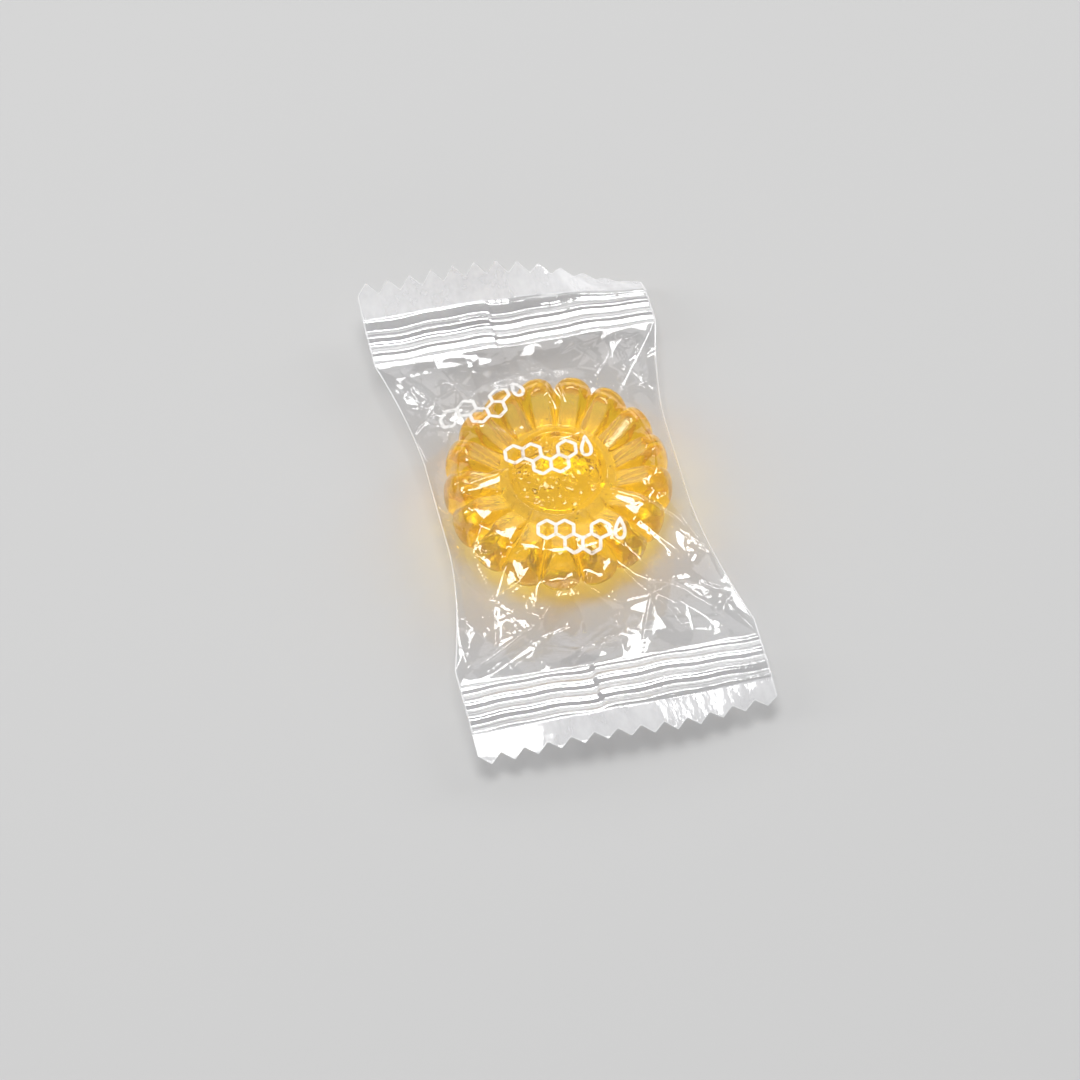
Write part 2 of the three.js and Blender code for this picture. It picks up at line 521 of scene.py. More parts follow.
@dataclass(frozen=True)
class CandyForm:
    """Flower-shaped candy: rounded petals, cut flat where they slope in to a middle disc. Millimetres."""

    radius: float = 12.2
    notch_radius: float = 11.3
    middle: float = 3.95
    half_thickness: float = 3.8
    petals: int = 17
    petal_turn: float = math.radians(2.0)
    scallop_span: Pair = (0.55, 0.97)
    outline_power: float = 2.2
    lobe_power: float = 2.3
    shoulder_power: float = 2.4
    shoulder_root: float = 2.1
    tip_start: float = 0.8
    finger_span: Pair = (0.5, 0.95)
    finger_crown: float = 0.1
    finger_fade: Pair = (-0.7, 1.0)
    cut_foot: float = 1.8
    cut_end: float = 9.7
    cut_blend: float = 0.07
    groove_foot: float = 1.5
    groove_end: float = 0.6
    uneven_tip: float = 0.07
    uneven_crest: float = 0.015
    uneven_foot: float = 0.12
    disc_radius: float = 5.3
    disc_foot_radius: float = 6.2
    disc_level: float = 2.9
    ring_width: float = 0.65
    ring_slope: Pair = (-0.18, 0.1)
    dish_depth: float = 0.45
    pimples: int = 170
    pimple_margin: float = 0.5
    pimple_size: Pair = (0.12, 0.34)
    pimple_height: Pair = (-0.05, 0.12)
    back_tip_start: float = 0.68
    back_groove_end: float = 1.6
    back_groove_span: Pair = (0.5, 0.85)
    back_dish: float = 0.3
    back_dish_span: Pair = (4.6, 5.2)
    # Painted highlight on the flat cuts and the disc's wall: strengths, depth and margins.
    cut_highlight_paint: float = 0.2
    cut_highlight_paint_depth: float = 0.3
    cut_highlight_paint_margin: float = 0.4
    wall_highlight_paint: float = 0.1
    wall_highlight_paint_margins: Pair = (0.15, 0.2)
    # Reach of the milky painted glow on the tips.
    milk_and_glow_depth: float = 0.5
    milk_and_glow_span: Pair = (7.0, 9.5)
    first_ring: float = 0.015
    disc_margin: float = 0.4
    foot_margin: float = 0.3
    tip_rings_start: float = 0.76
    front_steps: tuple[int, int, int, int] = (40, 26, 30, 28)
    back_steps: tuple[int, int, int, int] = (16, 14, 22, 24)
    steps_per_petal: int = 22
    seed: int = 7
    pimple_seed: int = 16

    def petal_across(self, angle: Array) -> tuple[Array, Array]:
        """Which petal an angle is on, and where across it.

        Args:
            angle: angles about the middle.

        Returns:
            The petal's number, and -1 to 1 across it with 0 on its crown.
        """
        turn = (angle - self.petal_turn) * self.petals / FULL_TURN
        number = np.floor(turn + 0.5)
        return number.astype(int) % self.petals, 2.0 * (turn - number)

    def per_petal(self, angle: Array, trait: Trait) -> Array:
        """Seeded unevenness, up to 1 either way, of one trait of the petal at each angle."""
        number, _ = self.petal_across(angle)
        return np.random.default_rng(self.seed + trait.value).uniform(-1.0, 1.0, self.petals)[number]

    def outline(self, angle: Array) -> Array:
        """Scalloped outline.

        Args:
            angle: angles about the middle.

        Returns:
            The outline's distance from the middle at each angle.
        """
        _, across = self.petal_across(angle)
        rounded = crown(across, self.outline_power)
        tip = self.radius + self.uneven_tip * self.per_petal(angle, Trait.TIP) * rounded
        return self.notch_radius + (tip - self.notch_radius) * rounded

    def radius_at(self, share: Array, angle: Array) -> Array:
        """Distance from the middle: round near it, scalloped towards the outline."""
        return share * mix(self.radius, self.outline(angle), eased(share, *self.scallop_span))

    def shoulder(self, share: Array, start: float) -> Array:
        """Fall of a face to the rim: 1 up to the share where the tips start, and 0 on the outline."""
        return (1.0 - part_way(share, start, 1.0) ** self.shoulder_power) ** (1.0 / self.shoulder_root)

    def lobe_and_cut(self, share: Array, angle: Array) -> tuple[Array, Array]:
        """Heights of the two forms that shape a petal, above the candy's middle plane.

        Args:
            share: shares of the front face.
            angle: angles about the middle.

        Returns:
            Heights of the rounded lobe, and of the cone that cuts it flat.
        """
        distance = share * self.radius
        _, across = self.petal_across(angle)
        run = self.cut_end - self.disc_foot_radius
        along = np.clip((distance - self.disc_foot_radius) / run, 0.0, 2.0)
        groove = mix(self.groove_foot, self.groove_end, np.minimum(along, 1.0))
        finger = 1.0 - eased(np.abs(across), *self.finger_span)
        finger = finger * (1.0 - self.finger_crown * across**2)
        rounded = crown(across, self.lobe_power)
        section = mix(finger, rounded, eased(distance - self.cut_end, *self.finger_fade))
        crest = self.half_thickness * (1.0 + self.uneven_crest * self.per_petal(angle, Trait.CREST))
        lobe = (groove + (crest - groove) * section) * self.shoulder(share, self.tip_start)
        foot = self.cut_foot + self.uneven_foot * self.per_petal(angle, Trait.FOOT)
        return lobe, foot + (self.half_thickness - foot) * along

    def petal(self, share: Array, angle: Array) -> Array:
        """Height of the petals above the middle plane: the lower of lobe and cut, softly joined."""
        lobe, cut = self.lobe_and_cut(share, angle)
        return 0.5 * (lobe + cut - np.sqrt((lobe - cut) ** 2 + self.cut_blend**2))

    def milk_glow_and_highlight(self, share: Array, angle: Array) -> tuple[Array, Array]:
        """Where the front has golden milk that is partly painted glow, and where it has a pale painted
        highlight.

        Args:
            share: shares of the front face.
            angle: angles about the middle.

        Returns:
            Share of milky painted glow on the petals' tips, and share of painted highlight on their cuts
            and the disc's wall.
        """
        lobe, cut = self.lobe_and_cut(share, angle)
        distance = share * self.radius
        past_foot = distance - self.disc_foot_radius
        flat = eased(lobe - cut, 0.0, self.cut_highlight_paint_depth) * eased(past_foot, 0.0, self.cut_highlight_paint_margin)
        above, below = self.wall_highlight_paint_margins
        wall = eased(distance, self.disc_radius - above, self.disc_radius)
        wall = wall * (1.0 - eased(past_foot, 0.0, below))
        milk_and_glow = eased(cut - lobe, 0.0, self.milk_and_glow_depth) * eased(distance, *self.milk_and_glow_span)
        return milk_and_glow, self.cut_highlight_paint * flat + self.wall_highlight_paint * wall

    def disc(self, distance: Array, angle: Array) -> Array:
        """Height of the middle disc above the candy's middle plane: a ring round a pimpled dish.

        Args:
            distance: distances from the middle.
            angle: angles about it.

        Returns:
            The heights.
        """
        inner = self.disc_radius - self.ring_width
        level = self.disc_level - self.dish_depth * (1.0 - eased(distance - inner, *self.ring_slope))
        draw = np.random.default_rng(self.pimple_seed)
        x, y = distance * np.sin(angle), distance * np.cos(angle)
        for _ in range(self.pimples):
            reach = (inner - self.pimple_margin) * math.sqrt(draw.uniform())
            turn = draw.uniform(0.0, FULL_TURN)
            size = draw.uniform(*self.pimple_size)
            away = (x - reach * math.sin(turn)) ** 2 + (y - reach * math.cos(turn)) ** 2
            level = level + draw.uniform(*self.pimple_height) * np.exp(-away / size**2)
        return level

    def front(self, share: Array, angle: Array) -> Array:
        """Front face.

        Args:
            share: shares of the face.
            angle: angles about the middle.

        Returns:
            Its heights above the floor.
        """
        share, angle = np.broadcast_arrays(np.asarray(share, float), angle)
        distance = share * self.radius
        wall = part_way(distance, self.disc_radius, self.disc_foot_radius)
        return self.middle + mix(self.disc(distance, angle), self.petal(share, angle), wall)

    def back(self, share: Array, angle: Array) -> Array:
        """Back face: flat, with a shallow dish and grooves at the rim.

        Args:
            share: shares of the face.
            angle: angles about the middle.

        Returns:
            Its heights above the floor.
        """
        share, angle = np.broadcast_arrays(np.asarray(share, float), angle)
        _, across = self.petal_across(angle)
        groove = mix(self.half_thickness, self.back_groove_end, eased(share, *self.back_groove_span))
        lobe = groove + (self.half_thickness - groove) * crown(across, self.lobe_power)
        dish = self.back_dish * (1.0 - eased(share * self.radius, *self.back_dish_span))
        return self.middle - (lobe - dish) * self.shoulder(share, self.back_tip_start)

    def rings(self, steps: tuple[int, int, int, int]) -> Array:
        """Shares at which a face has rings of points.

        Args:
            steps: rings on the disc, on its wall, on the flat cuts and on the tips.

        Returns:
            The shares, from just off the middle to just inside the outline.
        """
        edge = (self.disc_radius - self.ring_width - self.disc_margin) / self.radius
        foot = (self.disc_foot_radius + self.foot_margin) / self.radius
        tips = self.tip_rings_start
        disc = np.linspace(self.first_ring, edge, steps[0])
        wall = np.linspace(edge, foot, steps[1] + 1)[1:]
        cut = np.linspace(foot, tips, steps[2] + 1)[1:]
        tip = mix(tips, 1.0, np.sin(np.linspace(0.0, math.pi / 2.0, steps[3] + 2)[1:-1]))
        return np.concatenate([disc, wall, cut, tip])

    def build(self, middle_y: float, finish: Material) -> Object:
        """Makes the candy.

        Args:
            middle_y: where its middle lies along the packet.
            finish: its material.

        Returns:
            The piece, with its shares of milky painted glow and of painted highlight stored at its points.
        """
        count = self.petals * self.steps_per_petal
        angle = np.arange(count) * FULL_TURN / count + self.petal_turn
        front_rings, back_rings = self.rings(self.front_steps), self.rings(self.back_steps)[::-1]
        rows = [(self.radius_at(s, angle), self.front(s, angle)) for s in front_rings]
        rows += [(self.outline(angle), np.full(count, self.middle))]
        rows += [(self.radius_at(s, angle), self.back(s, angle)) for s in back_rings]
        points = [np.stack([r * np.sin(angle), r * np.cos(angle), z], axis=-1) for r, z in rows]
        points.append(np.array([[0.0, 0.0, rows[0][1].mean()], [0.0, 0.0, rows[-1][1].mean()]]))
        result = np.concatenate(points)
        result[:, 1] += middle_y
        made = mesh_object("candy", result, body_faces(len(rows), count), finish)
        milk_glow_and_highlight_shares = [self.milk_glow_and_highlight(np.full(count, s), angle) for s in front_rings]
        # The outline ring and the back's tips get full milky painted glow and no painted highlight.
        behind = np.concatenate([[1.0], back_rings > self.back_tip_start])
        milk_glow_and_highlight_shares += [(np.full(count, milk_and_glow), np.zeros(count)) for milk_and_glow in behind]
        milk_glow_and_highlight_shares += [(np.zeros(2), np.zeros(2))]
        for name, shares in zip((MILK_AND_GLOW_ATTRIBUTE, PAINTED_HIGHLIGHT_ATTRIBUTE), zip(*milk_glow_and_highlight_shares)):
            stored = made.data.attributes.new(name, "FLOAT", "POINT")
            stored.data.foreach_set("value", np.concatenate(shares))
        return made


@dataclass(frozen=True)
class Crease:
    """Sharp fold in the film: a ridge, or a valley where its height is negative. Millimetres."""

    start: Pair
    end: Pair
    height: float
    left: float = 2.0
    right: float = 2.0
    bead_height: float = 0.1
    bead_half_width: float = 0.3
    least_spread: float = 0.25
    spread_rise: float = 1.5
    bank_rise: float = 2.2
    bead_rise: float = 5.0

    def relief(self, x: Array, y: Array) -> Array:
        """Height that the fold adds.

        Args:
            x: places across the packet.
            y: places along it.

        Returns:
            The added heights.
        """
        along = np.subtract(self.end, self.start)
        length = float(np.hypot(*along))
        along = along / length
        forward = (x - self.start[0]) * along[0] + (y - self.start[1]) * along[1]
        beside = (y - self.start[1]) * along[0] - (x - self.start[0]) * along[1]
        run = np.clip(1.0 - np.abs(2.0 * forward / length - 1.0), 0.0, 1.0)
        widest = np.where(beside > 0.0, self.left, self.right)
        spread = widest * np.minimum(1.0, self.least_spread + self.spread_rise * run)
        bead = self.bead_height * (1.0 - eased(np.abs(beside), 0.0, self.bead_half_width))
        bank = self.height * np.clip(1.0 - np.abs(beside) / spread, 0.0, 1.0)
        return np.minimum(1.0, self.bank_rise * run) * bank + np.minimum(1.0, self.bead_rise * run) * bead


class FacetNet:
    """Flat three-sided facets between scattered points, as in film that has been creased."""

    JITTER = 0.45
    EDGE_WIDTH = 0.22
    HAIR = 1e-6

    def __init__(self, area: Pair, spacing: Pair, seed: int) -> None:
        """Scatters the points and joins them.

        Args:
            area: half width and half length to cover, in millimetres.
            spacing: mean distance of the points across and along the packet.
            seed: seed of the random draw.
        """
        draw = np.random.default_rng(seed)
        across = int(area[0] / spacing[0]) + 2
        along = int(area[1] / spacing[1]) + 2
        i, j = np.meshgrid(np.arange(-across, across + 1), np.arange(-along, along + 1))
        jitter = draw.uniform(-self.JITTER, self.JITTER, (2, *i.shape))
        self.x = ((i + 0.5 * (j % 2) + jitter[0]) * spacing[0]).ravel()
        self.y = ((j + jitter[1]) * spacing[1]).ravel()
        self.height = draw.uniform(-1.0, 1.0, self.x.size)
        even = [Vector((x / spacing[0], y / spacing[1])) for x, y in zip(self.x, self.y)]
        self.corners = geometry.delaunay_2d_cdt(even, [], [], 0, self.HAIR)[2]
        self.sharpness = draw.uniform(0.0, 1.0, len(self.corners)) ** 2

    def relief(self, x: Array, y: Array) -> tuple[Array, Array]:
        """Height of the facets and sharpness of their edges.

        Args:
            x: places across the packet, row by row along it.
            y: places along it.

        Returns:
            The heights, from -1 to 1, and 1 on a sharp edge down to 0 off it.
        """
        height, edge = np.zeros_like(x), np.zeros_like(x)
        row_low, row_high = y.min(axis=1), y.max(axis=1)
        for number, corners in enumerate(self.corners):
            a, b, c = corners
            first = int(np.searchsorted(row_high, self.y[corners].min()))
            last = int(np.searchsorted(row_low, self.y[corners].max(), side="right"))
            ux, uy = self.x[b] - self.x[a], self.y[b] - self.y[a]
            vx, vy = self.x[c] - self.x[a], self.y[c] - self.y[a]
            doubled = ux * vy - uy * vx
            px, py = x[first:last] - self.x[a], y[first:last] - self.y[a]
            second = (px * vy - py * vx) / doubled
            third = (ux * py - uy * px) / doubled
            rest = 1.0 - second - third
            nearest = np.minimum(np.minimum(second, third), rest)
            level = self.height[a] * rest + self.height[b] * second + self.height[c] * third
            off_edge = nearest * math.sqrt(abs(doubled)) / self.EDGE_WIDTH
            sharp = self.sharpness[number] * np.clip(1.0 - off_edge, 0.0, 1.0)
            inside = nearest >= -self.HAIR
            height[first:last] = np.where(inside, level, height[first:last])
            edge[first:last] = np.where(inside, sharp, edge[first:last])
        return height, edge


@dataclass(frozen=True)
class PressedRibs:
    """Ribs that the sealing jaws press across the end seals. Millimetres."""

    pitch: float = 1.8
    count: int = 3
    height: float = 0.36
    sway: Pair = (0.06, 7.0)
    ripple: Triple = (0.04, 17.0, 2.0)
    seam_step: float = 0.2
    seam_span: Pair = (-0.14, -0.11)
    fine_height: float = 0.22
    fine_rate: float = 3.0
    fine_shift: float = 0.3
    start: float = 0.35
    end_blur: float = 0.25

    @property
    def length(self) -> float:
        """How far the ribs reach into the seal."""
        return self.count * self.pitch

    def relief(self, u: Array, y: Array, out: Array) -> Array:
        """Height of the ribs.

        Args:
            u: share across the packet, from -1 to 1.
            y: unskewed places along it.
            out: how far each place lies into its seal.

        Returns:
            The heights.
        """
        size, rate, shift = self.ripple
        wander = self.sway[0] * np.sin(self.sway[1] * u + np.sign(y)) + size * np.sin(rate * u + shift)
        phase = out / self.pitch + wander + self.seam_step * eased(u, *self.seam_span)
        fine = 2.0 * zigzag(self.fine_rate * phase + self.fine_shift) - 1.0
        fold = 2.0 * zigzag(phase) - 1.0 + self.fine_height * fine
        past_end = eased(out - self.length, -self.end_blur, self.end_blur)
        return self.height / 2.0 * fold * eased(out, 0.0, self.start) * (1.0 - past_end)


@dataclass(frozen=True)
class PacketForm:
    """Form of the filled packet's film. Its sizes are those of the frame's solid, in millimetres."""

    length: float = 57.6
    seal_length: float = 9.0
    seal_width: float = 32.0
    waist_width: float = 26.4
    waist_half_length: float = 5.0
    waist_power: float = 1.6
    candy_offset: float = 1.9
    seam_height: float = 3.9
    film_sag: float = 0.45
    skew: float = math.tan(math.radians(-3.5))
    curl_start: float = 22.0
    top_lift: float = 3.2
    top_corner_droop: float = 6.2
    top_corner_span: Pair = (-0.1, 1.0)
    foot_side_droop: float = 0.7
    foot_corner_droop: float = 0.9
    foot_corner_span: Pair = (0.3, 1.05)
    top_corner_pull: float = 2.3
    foot_corner_pull: float = 1.3
    pull_span: Pair = (0.25, 1.05)
    seal_wave: float = 0.35
    seal_wave_rate: float = 1.7
    seal_wave_shift: float = 0.4
    tooth_count: int = 13
    tooth_depth: float = 1.1
    tooth_reach: float = 2.0
    seal_gap: float = 0.12
    gap_power: float = 24.0
    gap_end: float = 0.4
    contact_radius: float = 10.6
    top: float = 7.9
    shoulder: float = 2.4
    petals_through: float = 0.35
    petals_through_start: float = 7.5
    rim_steps: tuple[int, int] = (121, 161)
    ribs: PressedRibs = PressedRibs()
    creases: tuple[Crease, ...] = (
        Crease((-0.5, 17.4), (1.7, 8.6), 0.35, 1.6, 0.8),
        Crease((0.6, 17.6), (2.9, 9.2), 0.25, 0.8, 0.8),
        Crease((-10.4, 2.0), (-5.0, 2.7), 0.2, 0.5, 0.9),
        Crease((4.6, -2.2), (7.9, -4.3), 0.2, 0.4, 0.8),
        Crease((7.3, -4.0), (11.5, -7.2), 0.25, 0.5, 1.0),
        Crease((3.3, -7.6), (6.5, -11.6), 0.3, 0.6, 1.2),
        Crease((-2.5, -11.0), (-6.9, -15.4), 0.75, 1.6, 2.4),
        Crease((-2.5, -11.0), (-4.0, -19.8), 0.9, 1.2, 2.0),
        Crease((-2.5, -11.0), (0.6, -19.2), 0.75, 2.2, 1.2),
        Crease((-2.5, -11.0), (3.4, -15.0), 0.5, 2.0, 0.8),
        Crease((-4.1, -19.0), (2.6, -17.8), 0.4, 0.9, 1.6),
        Crease((-15.2, -18.2), (-6.5, -14.6), 0.5, 2.4, 1.0),
        Crease((-8.9, 16.6), (-6.2, 11.8), 0.5, 1.0, 1.6),
        Crease((5.2, 19.4), (7.6, 13.2), 0.5, 1.2, 1.8),
        Crease((9.4, 19.0), (10.4, 12.0), 0.55, 1.0, 1.4),
        Crease((13.9, 15.6), (9.6, 18.2), 0.4, 1.2, 0.8),
        Crease((13.0, 17.8), (11.8, 10.4), 0.35, 0.8, 1.2),
        Crease((-12.8, 18.4), (-9.6, 12.0), 0.4, 0.8, 1.6),
        Crease((8.2, -13.0), (13.4, -18.6), 0.45, 1.6, 1.0),
        Crease((6.4, -14.6), (8.8, -19.2), 0.4, 1.0, 1.0),
    )

    @property
    def body_half(self) -> float:
        """Half the length between the end seals."""
        return self.length / 2.0 - self.seal_length

    def half_width(self, y: Array) -> Array:
        """Half of the packet's width at places along it."""
        away = part_way(np.abs(y - self.candy_offset), self.waist_half_length, self.body_half)
        return mix(self.waist_width, self.seal_width, away**self.waist_power) / 2.0

    def seam(self, x: Array, y: Array) -> Array:
        """Height at which the two sheets would meet.

        Args:
            x: places across the packet.
            y: places along it.

        Returns:
            The heights.
        """
        out = part_way(np.abs(y), self.curl_start, self.length / 2.0)
        across = x / (self.seal_width / 2.0)
        top = self.top_lift - self.top_corner_droop * eased(across, *self.top_corner_span)
        corner = self.foot_corner_droop * eased(across, *self.foot_corner_span)
        foot = -self.foot_side_droop * across**2 - corner
        wave = self.seal_wave * np.cos(math.pi * (self.seal_wave_rate * across + self.seal_wave_shift))
        return self.seam_height + out**2 * (wave + np.where(y > 0.0, top, foot))

    def skewed(self, x: Array, y: Array) -> Array:
        """Turns the seals out of square and curls their hanging corners in.

        Args:
            x: places across the packet.
            y: places along it, before the turn.

        Returns:
            The places along it.
        """
        out = np.clip((np.abs(y) - self.body_half) / self.seal_length, 0.0, 1.0)
        pull = np.where(y > 0.0, self.top_corner_pull, self.foot_corner_pull) * out**2
        pull = pull * eased(x / (self.seal_width / 2.0), *self.pull_span)
        return y - np.sign(y) * pull + self.skew * x * eased(np.abs(y), 0.0, self.body_half)

    def rim(self) -> tuple[Array, Array, Array]:
        """The body's edge as seen from the candy's middle.

        Returns:
            Angles in rising order, with the edge's distance and height at each.
        """
        along_seal, along_side = self.rim_steps
        share = np.linspace(-1.0, 1.0, along_seal)
        side_y = np.linspace(-self.body_half, self.body_half, along_side)
        side_x = self.half_width(side_y)
        seal_y = np.full(share.size, self.body_half)
        seal_x, foot_x = share * self.half_width(seal_y), share * self.half_width(-seal_y)
        x = np.concatenate([seal_x, side_x, foot_x, -side_x])
        y = np.concatenate([seal_y, side_y, -seal_y, side_y])
        out_y = self.skewed(x, y) - self.candy_offset
        angle = np.arctan2(x, out_y)
        order = np.argsort(angle)
        return angle[order], np.hypot(x, out_y)[order], self.seam(x, y)[order]

    def on_candy(self, side: Side, distance: Array, angle: Array, form: CandyForm) -> Array:
        """Height of the film where it lies on the candy.

        Args:
            side: the face of the packet.
            distance: distances from the candy's middle.
            angle: angles about it.
            form: the candy.

        Returns:
            The heights.
        """
        across = np.clip((distance - form.radius + self.shoulder) / self.shoulder, 0.0, 1.0)
        left = np.sqrt(1.0 - across * across)
        if side is Side.BACK:
            return self.seam_height * (1.0 - left)
        _, petal = form.petal_across(angle)
        groove = self.petals_through * eased(distance, self.petals_through_start, form.radius)
        return self.seam_height + (self.top - self.seam_height) * left - groove * petal**2


@dataclass(frozen=True)
class Lattice:
    """Places of points on the packet, by rows along it and columns across it, in millimetres.

    u is the share across, from -1 to 1, and flat_y is y before the end seals are skewed.
    """

    u: Array
    x: Array
    flat_y: Array
    y: Array

    def polar(self, middle_y: float) -> tuple[Array, Array]:
        """Distances from a middle on the packet's line, and angles about it."""
        return np.hypot(self.x, self.y - middle_y), np.arctan2(self.x, self.y - middle_y)


@dataclass(frozen=True)
class FilmSheet:
    """One sheet of the packet's film. Its rows are those of the body; each seal has a third as many."""

    packet: PacketForm
    candy: CandyForm
    side: Side
    rows: int
    columns: int
    seed: int
    edge_crowding: float = 0.04
    large_net: Pair = (3.2, 5.4)
    small_net: Pair = (1.4, 2.2)
    broad_net: Pair = (4.5, 4.5)
    taut_end: Pair = (0.04, 0.34)
    loose_end: Pair = (0.8, 1.0)
    large_height: float = 0.6
    small_height: float = 0.05
    fold_height: float = 0.18
    crinkle_height: float = 0.04
    taut_broad_height: float = 0.06
    taut_fold_height: float = 0.04
    taut_small_height: float = 0.01
    candy_gap: float = 0.05

    def stations(self) -> Array:
        """Places of the rows along the packet, closer together in the ribbed seals.

        Returns:
            The places, in rising order.
        """
        body = self.packet.body_half
        seal = np.linspace(body, self.packet.length / 2.0, self.rows // 3 + 1)[1:]
        return np.concatenate([-seal[::-1], np.linspace(-body, body, self.rows), seal])

    def lattice(self) -> Lattice:
        """Places of the sheet's points, with both ends cut in a zigzag.

        Returns:
            The places.
        """
        packet = self.packet
        even = np.linspace(-1.0, 1.0, self.columns)
        u = even + self.edge_crowding * np.sin(math.pi * even)
        y = self.stations()[:, None] + np.zeros(self.columns)
        u = u[None, :] + np.zeros_like(y)
        x = u * packet.half_width(np.clip(y, -packet.body_half, packet.body_half))
        out = np.abs(y) - packet.body_half
        valley = zigzag((u + 1.0) / 2.0 * packet.tooth_count)
        reach = eased(out, packet.seal_length - packet.tooth_reach, packet.seal_length)
        y = y - np.sign(y) * packet.tooth_depth * valley * reach
        return Lattice(u, x, y, packet.skewed(x, y))

    def heights(self, places: Lattice) -> Array:
        """Heights of the sheet.

        Args:
            places: where they are asked for.

        Returns:
            The heights.
        """
        packet, sign, contact = self.packet, self.side.value, self.packet.contact_radius
        distance, angle = places.polar(packet.candy_offset)
        rim_angle, rim_distance, rim_height = packet.rim()
        edge = np.interp(angle, rim_angle, rim_distance, period=FULL_TURN)
        edge_height = np.interp(angle, rim_angle, rim_height, period=FULL_TURN)
        start = packet.on_candy(self.side, np.full_like(angle, contact), angle, self.candy)
        share = part_way(distance, contact, edge)
        bow = 4.0 * share * (1.0 - share) * (edge - contact) / packet.body_half
        free = mix(start, edge_height, share) - sign * packet.film_sag * bow
        on_candy = packet.on_candy(self.side, np.minimum(distance, contact), angle, self.candy)
        body = np.where(distance <= contact, on_candy, free)
        body = body + self.relief(places.x, places.y, share)
        out = np.abs(places.flat_y) - packet.body_half
        in_seal = np.abs(places.flat_y) >= packet.body_half
        height = np.where(in_seal, packet.seam(places.x, places.flat_y), body)
        height = height + packet.ribs.relief(places.u, places.flat_y, out)
        gap = packet.seal_gap / 2.0 * np.sqrt(np.clip(1.0 - np.abs(places.u) ** packet.gap_power, 0.0, 1.0))
        to_end = packet.length / 2.0 - np.abs(places.flat_y)
        height = height + sign * gap * eased(to_end, 0.0, packet.gap_end)
        return self.clear_of_candy(height, distance, angle)

    def relief(self, x: Array, y: Array, share: Array) -> Array:
        """Creases and facets of the free film.

        Args:
            x: places across the packet.
            y: places along it.
            share: share of the way from the candy to the rim.

        Returns:
            The heights.
        """
        area = (self.packet.seal_width / 2.0, self.packet.length / 2.0)
        large, fold = FacetNet(area, self.large_net, self.seed).relief(x, y)
        small, crinkle = FacetNet(area, self.small_net, self.seed + 1).relief(x, y)
        broad, _ = FacetNet(area, self.broad_net, self.seed + 2).relief(x, y)
        slack = eased(share, *self.taut_end)
        loose = self.large_height * large + self.small_height * small
        loose = loose + self.fold_height * fold + self.crinkle_height * crinkle
        taut = self.taut_broad_height * (1.0 + broad)
        taut = taut + self.taut_fold_height * fold + self.taut_small_height * small
        result = loose * (slack * (1.0 - eased(share, *self.loose_end))) + taut * (1.0 - slack)
        if self.side is Side.FRONT:
            for crease in self.packet.creases:
                result = result + crease.relief(x, y)
        return result

    def clear_of_candy(self, height: Array, distance: Array, angle: Array) -> Array:
        """Keeps the film off the candy and above the floor.

        Args:
            height: heights of the film.
            distance: distances from the candy's middle.
            angle: angles about it.

        Returns:
            The heights, with no film inside the candy.
        """
        candy, outline = self.candy, self.candy.outline(angle)
        share = np.clip(distance / outline, 0.0, 1.0)
        if self.side is Side.FRONT:
            least = candy.front(share, angle) + self.candy_gap
            return np.where(distance < outline, np.maximum(height, least), height)
        most = candy.back(share, angle) - self.candy_gap
        return np.maximum(np.where(distance < outline, np.minimum(height, most), height), 0.0)

    def build(self, finishes: dict[Zone, Material]) -> Object:
        """Makes the sheet.

        Args:
            finishes: the material of each of its zones.

        Returns:
            The piece.
        """
        places = self.lattice()
        spots = (places.x, places.y, self.heights(places))
        name, looks = f"film_{self.side.name.lower()}", [finishes[zone] for zone in Zone]
        made = sheet_object(name, spots, self.side is Side.BACK, *looks)
        flat_y = places.flat_y
        out = np.abs(flat_y[:-1, :-1] + flat_y[1:, 1:]) / 2.0 - self.packet.body_half
        zone = np.where(out > 0.0, Zone.RIBBED.value, Zone.LOOSE.value)
        zone[out > self.packet.ribs.length] = Zone.WELDED.value
        # The outermost ring of faces takes the edge finish, a painted highlight.
        zone[:, [0, -1]] = zone[[0, -1], :] = Zone.EDGE.value
        made.data.polygons.foreach_set("material_index", zone.ravel())
        return made


class Drape:
    """Lays flat shapes on a sheet of film."""

    ABOVE_ALL = 50.0

    def __init__(self, sheet: Object) -> None:
        """Notes the sheet's surface."""
        points = [v.co / MM for v in sheet.data.vertices]
        self.tree = BVHTree.FromPolygons(points, [tuple(p.vertices) for p in sheet.data.polygons])

    def height(self, x: float, y: float) -> float:
        """Height of the sheet's highest point at a place, in millimetres."""
        hit = self.tree.ray_cast(Vector((x, y, self.ABOVE_ALL)), Vector((0.0, 0.0, -1.0)))
        return 0.0 if hit[0] is None else hit[0].z


